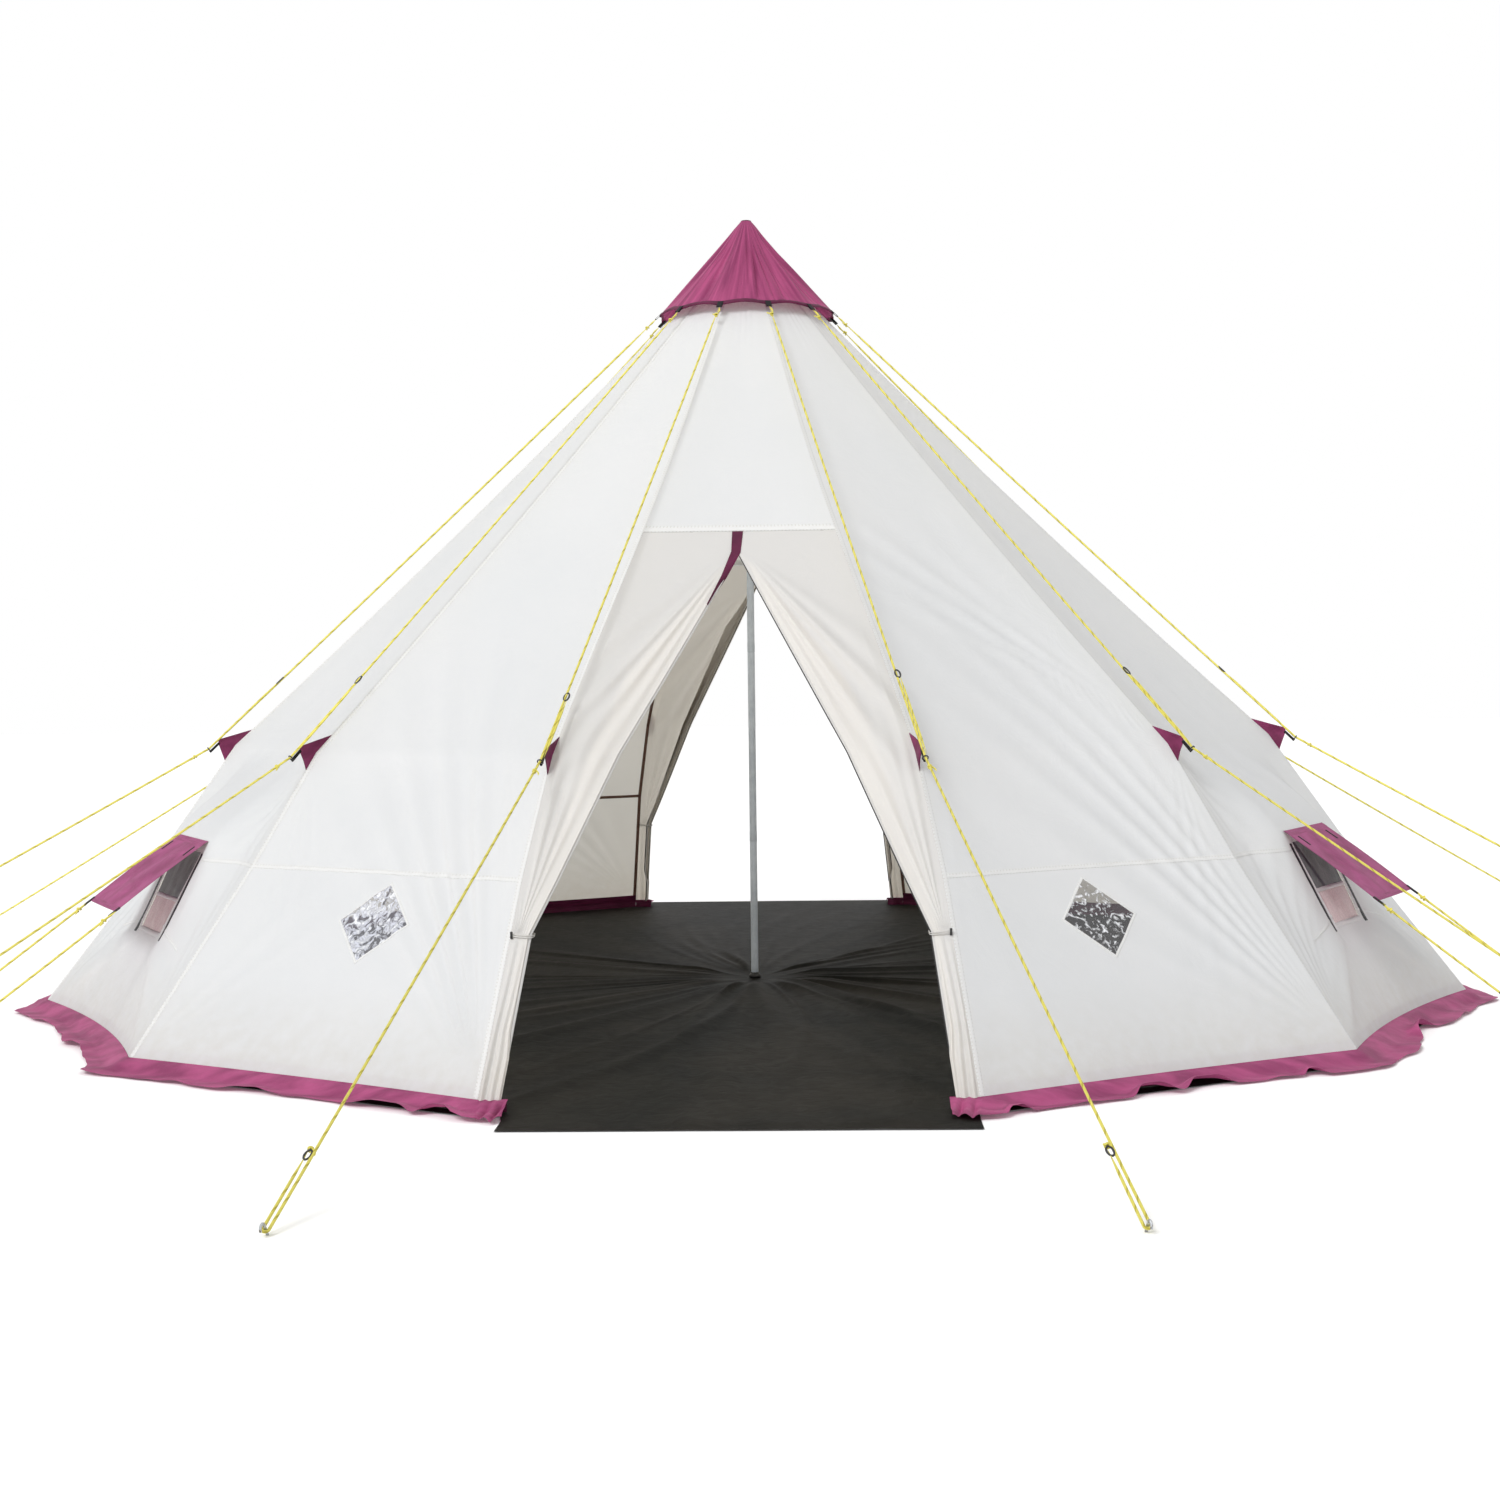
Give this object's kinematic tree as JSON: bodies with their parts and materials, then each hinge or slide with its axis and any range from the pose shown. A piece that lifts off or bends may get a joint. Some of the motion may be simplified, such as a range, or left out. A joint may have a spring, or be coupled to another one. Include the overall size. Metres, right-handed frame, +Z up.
{
  "type": "pyramid tent",
  "caption": "Pyramid tent on a centre pole, off-white with a plum rain cap, skirts and vent awnings, doors tied back, on yellow guy ropes.",
  "frame": {"origin": "on the ground under the centre pole, at the middle of the groundsheet's underside", "axes": "+Z up along the pole; -Y out through the front door, +Y out through the back door; +X to the right seen from the front"},
  "size_m": [7.5932, 7.981, 3.2357],
  "materials": {
    "canvas": "coated cotton and polyester, matt",
    "plum_canvas": "plum coated cloth, matt",
    "zip_tape": "woven zip tape",
    "vent_cloth": "insect mesh and sheer vent cloth",
    "window_foil": "clear soft foil",
    "floor_sheet": "dark woven and coated sheet",
    "black_plastic": "moulded",
    "pole_steel": "grey-blue coated steel tube",
    "yellow_rope": "braided rope with a dark fleck",
    "peg_steel": "zinc-plated wire"
  },
  "bodies": {
    "tent": {"groundsheet": "floor_sheet", "pole_foot": "black_plastic", "pole_crown": "black_plastic", "pole_section_1": "pole_steel", "pole_section_2": "pole_steel", "pole_section_3": "pole_steel", "pole_section_4": "pole_steel", "rain_cap": "plum_canvas", "window_panel_left": "canvas", "window_panel_right": "canvas", "vent_panel_left": "canvas", "vent_panel_right": "canvas", "rear_quarter_left": "canvas", "rear_quarter_right": "canvas", "header_front": "canvas", "header_back": "canvas", "flap_front_left": "canvas", "flap_front_right": "canvas", "flap_back_left": "canvas", "flap_back_right": "canvas", "skirt_left": "plum_canvas", "skirt_right": "plum_canvas", "vent_cloth_left": "vent_cloth", "vent_cloth_right": "vent_cloth", "window_left": "window_foil", "window_right": "window_foil", "guy_rope_01": "yellow_rope", "guy_rope_02": "yellow_rope", "guy_rope_03": "yellow_rope", "guy_rope_04": "yellow_rope", "guy_rope_05": "yellow_rope", "guy_rope_06": "yellow_rope", "guy_rope_07": "yellow_rope", "guy_rope_08": "yellow_rope", "guy_rope_09": "yellow_rope", "guy_rope_10": "yellow_rope", "guy_rope_11": "yellow_rope", "guy_rope_12": "yellow_rope", "awning_rope_left_front": "yellow_rope", "awning_rope_left_rear": "yellow_rope", "awning_rope_right_front": "yellow_rope", "awning_rope_right_rear": "yellow_rope", "peg_01": "peg_steel", "peg_02": "peg_steel", "peg_03": "peg_steel", "peg_04": "peg_steel", "peg_05": "peg_steel", "peg_06": "peg_steel", "peg_07": "peg_steel", "peg_08": "peg_steel", "peg_09": "peg_steel", "peg_10": "peg_steel", "peg_11": "peg_steel", "peg_12": "peg_steel"},
    "moving_zip_edge_front_left": {"zip_edge_front_left": "zip_tape"},
    "moving_zip_edge_front_right": {"zip_edge_front_right": "zip_tape"},
    "moving_zip_edge_back_left": {"zip_edge_back_left": "zip_tape"},
    "moving_zip_edge_back_right": {"zip_edge_back_right": "zip_tape"},
    "moving_awning_left": {"awning_left": "plum_canvas"},
    "moving_awning_right": {"awning_right": "plum_canvas"}
  },
  "joints": [
    {"name": "draw_front_left", "type": "hinge", "parent": "tent", "child": "moving_zip_edge_front_left", "pos_m": [0, -1.2653, 1.652], "axis": [0, -0.7488, 0.6628], "range_deg": [0, 17.2]},
    {"name": "draw_front_right", "type": "hinge", "parent": "tent", "child": "moving_zip_edge_front_right", "pos_m": [0, -1.2653, 1.652], "axis": [0, 0.7488, -0.6628], "range_deg": [0, 17.2]},
    {"name": "draw_back_left", "type": "hinge", "parent": "tent", "child": "moving_zip_edge_back_left", "pos_m": [0, 1.2653, 1.652], "axis": [0, -0.7488, -0.6628], "range_deg": [0, 17.2]},
    {"name": "draw_back_right", "type": "hinge", "parent": "tent", "child": "moving_zip_edge_back_right", "pos_m": [0, 1.2653, 1.652], "axis": [0, 0.7488, 0.6628], "range_deg": [0, 17.2]},
    {"name": "lift_awning_left", "type": "hinge", "parent": "tent", "child": "moving_awning_left", "pos_m": [-1.9622, -1.1329, 0.68], "axis": [-0.5, 0.866, 0], "range_deg": [-22, 0]},
    {"name": "lift_awning_right", "type": "hinge", "parent": "tent", "child": "moving_awning_right", "pos_m": [1.9622, -1.1329, 0.68], "axis": [-0.5, -0.866, 0], "range_deg": [-22, 0]}
  ]
}
